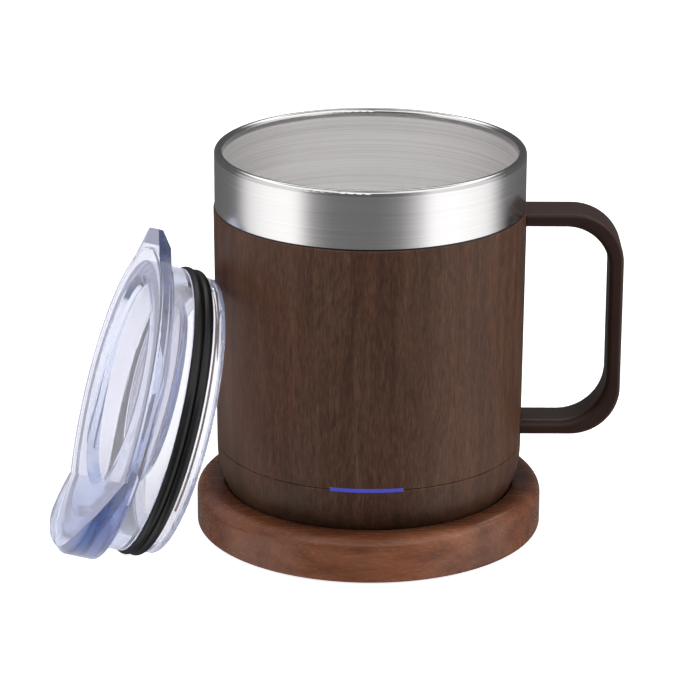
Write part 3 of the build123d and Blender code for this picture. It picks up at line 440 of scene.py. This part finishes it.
def springy(node, body):
    """A copy of the same shape, attached to the body in place of the original node."""
    bpy.context.view_layer.update()
    o = bpy.data.objects.new("give_" + node, NODES[node].data.copy())
    scene.collection.objects.link(o)
    o.matrix_world = NODES[node].matrix_world.copy()
    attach(o, body)
    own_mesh(o)
    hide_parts(node)
    return o


springy("pin_spring_inner", "coaster")
springy("pin_spring_outer", "coaster")
springy("button_dome", "mug")

# ------------------------------------------------------------------ stage, light, camera

floor_mesh = bpy.data.meshes.new("floor")
bm = bmesh.new()
bmesh.ops.create_circle(bm, cap_ends=True, segments=96, radius=6.0)
bm.to_mesh(floor_mesh)
bm.free()
floor = bpy.data.objects.new("floor", floor_mesh)
floor.location.z = -0.00005
floor.visible_glossy = False
scene.collection.objects.link(floor)
fm = Mat("pale_floor")
fm.color(fm.ramp(fm.noise(fm.p, (3, 3, 3), 2.0, 0.5), [(0.3, (0.90, 0.90, 0.90)), (0.7, (0.92, 0.92, 0.92))]))
fm.set(Roughness=0.9, Specular_IOR_Level=0.0)
fm.set(Emission_Color=(1, 1, 1, 1))
f_path = fm.nt.nodes.new("ShaderNodeLightPath")
f_thru = fm.math("MULTIPLY_ADD", f_path.outputs["Is Transmission Ray"], 0.42, 0.12)
fm.to(fm.math("MULTIPLY_ADD", f_path.outputs["Is Camera Ray"], 0.68, f_thru), fm.b.inputs["Emission Strength"])
floor_mesh.materials.append(fm.mat)

# The studio: two tall soft panels at the sides, a soft ceiling, a dim front and a white sweep behind.
world = bpy.data.worlds.new("studio")
scene.world = world
world.use_nodes = True
wt = world.node_tree
wt.nodes.clear()


def wnode(kind, op=None, **links):
    n = wt.nodes.new(kind)
    if op:
        n.operation = op
    for i, v in links.items():
        sock = n.inputs[int(i[1:])]
        if isinstance(v, (int, float, tuple)):
            sock.default_value = v
        else:
            wt.links.new(v, sock)
    return n


def wramp(value, stops):
    n = wt.nodes.new("ShaderNodeValToRGB")
    e = n.color_ramp.elements
    while len(e) > 1:
        e.remove(e[-1])
    e[0].position, e[0].color = stops[0][0], (stops[0][1],) * 3 + (1,)
    for pos, v in stops[1:]:
        e.new(pos).color = (v, v, v, 1)
    wt.links.new(value, n.inputs[0])
    return n.outputs[0]


w_dir = wnode("ShaderNodeTexCoord").outputs["Generated"]
w_x, w_y, w_z = wnode("ShaderNodeSeparateXYZ", i0=w_dir).outputs[:3]
w_front = wnode("ShaderNodeMath", "MULTIPLY", i0=w_y, i1=-1.0).outputs[0]
w_az = wnode("ShaderNodeMath", "ARCTAN2", i0=w_x, i1=w_front).outputs[0]
w_u = wnode("ShaderNodeMath", "MULTIPLY_ADD", i0=w_az, i1=0.5 / math.pi, i2=0.5).outputs[0]
PANELS = [(-180, 0.06), (-140, 0.09), (-116, 0.11), (-100, 0.62), (-84, 0.78), (-56, 0.86), (-44, 0.22), (-30, 0.120), (6, 0.110),
          (22, 0.16), (36, 0.44), (45, 0.86), (66, 0.86), (96, 0.72), (114, 0.12), (150, 0.08), (180, 0.06)]
w_ring = wramp(w_u, [(d / 360.0 + 0.5, v) for d, v in PANELS])
w_top = wramp(w_z, [(0.56, 0.0), (0.68, 1.0), (0.77, 1.0), (0.87, 0.08)])
w_env = wnode("ShaderNodeMix")
w_env.data_type = "RGBA"
wt.links.new(w_top, w_env.inputs[0])
wt.links.new(w_ring, w_env.inputs[6])
w_env.inputs[7].default_value = (1.38, 1.38, 1.40, 1)
w_light = wnode("ShaderNodeBackground", i0=w_env.outputs[2], i1=2.0)
w_seen = wnode("ShaderNodeBackground", i0=(1, 1, 1, 1), i1=1.0)
w_path = wnode("ShaderNodeLightPath")
# what is seen through clear plastic: white behind and above, a cool dim room in front
w_back = wnode("ShaderNodeMapRange", i0=w_y, i1=0.0, i2=0.5, i3=0.0, i4=1.0).outputs[0]
w_over = wnode("ShaderNodeMapRange", i0=w_z, i1=0.5, i2=0.8, i3=0.0, i4=1.0).outputs[0]
w_open = wnode("ShaderNodeMath", "MAXIMUM", i0=w_back, i1=w_over).outputs[0]
w_tint = wnode("ShaderNodeMix")
w_tint.data_type = "RGBA"
wt.links.new(w_open, w_tint.inputs[0])
w_tint.inputs[6].default_value = (0.58, 0.60, 0.74, 1)
w_tint.inputs[7].default_value = (1, 1, 1, 1)
w_thru = wnode("ShaderNodeBackground", i0=w_tint.outputs[2], i1=1.0)
# polished plastic mirrors the same studio with its white sweep behind, matt and brushed surfaces don't reach it
w_gleam = wnode("ShaderNodeMix")
w_gleam.data_type = "RGBA"
wt.links.new(w_open, w_gleam.inputs[0])
w_gleam.inputs[6].default_value = (0.46, 0.48, 0.60, 1)
w_gleam.inputs[7].default_value = (0.72, 0.72, 0.83, 1)
w_glint = wnode("ShaderNodeBackground", i0=w_gleam.outputs[2], i1=1.0)
w_mix0 = wnode("ShaderNodeMixShader", i0=w_path.outputs["Is Singular Ray"], i1=w_light.outputs[0], i2=w_glint.outputs[0])
w_mix1 = wnode("ShaderNodeMixShader", i0=w_path.outputs["Is Transmission Ray"], i1=w_mix0.outputs[0], i2=w_thru.outputs[0])
w_mix = wnode("ShaderNodeMixShader", i0=w_path.outputs["Is Camera Ray"], i1=w_mix1.outputs[0], i2=w_seen.outputs[0])
world.cycles_visibility.diffuse = False
w_out = wnode("ShaderNodeOutputWorld", i0=w_mix.outputs[0])


def softbox(name, azimuth, elevation, distance, width, height, radiance, target=(0, 0, 0.06)):
    """An area light at an azimuth counted from the front, to the right, aimed at the object."""
    a, e = math.radians(azimuth), math.radians(elevation)
    back = Vector((math.sin(a) * math.cos(e), -math.cos(a) * math.cos(e), math.sin(e)))
    data = bpy.data.lights.new(name, "AREA")
    data.shape = "RECTANGLE"
    data.size, data.size_y = width, height
    data.energy = radiance * width * height * math.pi
    o = bpy.data.objects.new(name, data)
    o.location = Vector(target) + back * distance
    o.rotation_mode = "QUATERNION"
    o.rotation_quaternion = (-back).to_track_quat("-Z", "Y")
    o.visible_glossy = False
    o.visible_transmission = False
    scene.collection.objects.link(o)
    return o


softbox("soft_right", 80, 24, 1.0, 0.8, 1.0, 3.2)
softbox("soft_left", -74, 18, 1.0, 0.8, 1.0, 3.2)
softbox("soft_top", 0, 86, 1.2, 1.0, 1.0, 2.2)
softbox("soft_front", 0, 28, 1.5, 1.0, 1.0, 0.75)

cam_data = bpy.data.cameras.new("camera")
cam_data.lens = 171.2
cam_data.sensor_width = 36.0
cam_data.clip_start = 0.01
cam_data.clip_end = 50.0
cam = bpy.data.objects.new("camera", cam_data)
cam.rotation_mode = "QUATERNION"
turn = Matrix.Rotation(math.pi / 2 - 0.334, 4, "X") @ Matrix.Rotation(0.004, 4, "Z")
cam.rotation_quaternion = turn.to_quaternion()
cam.location = (-0.005497, -0.89615, 0.36255)
scene.collection.objects.link(cam)
scene.camera = cam
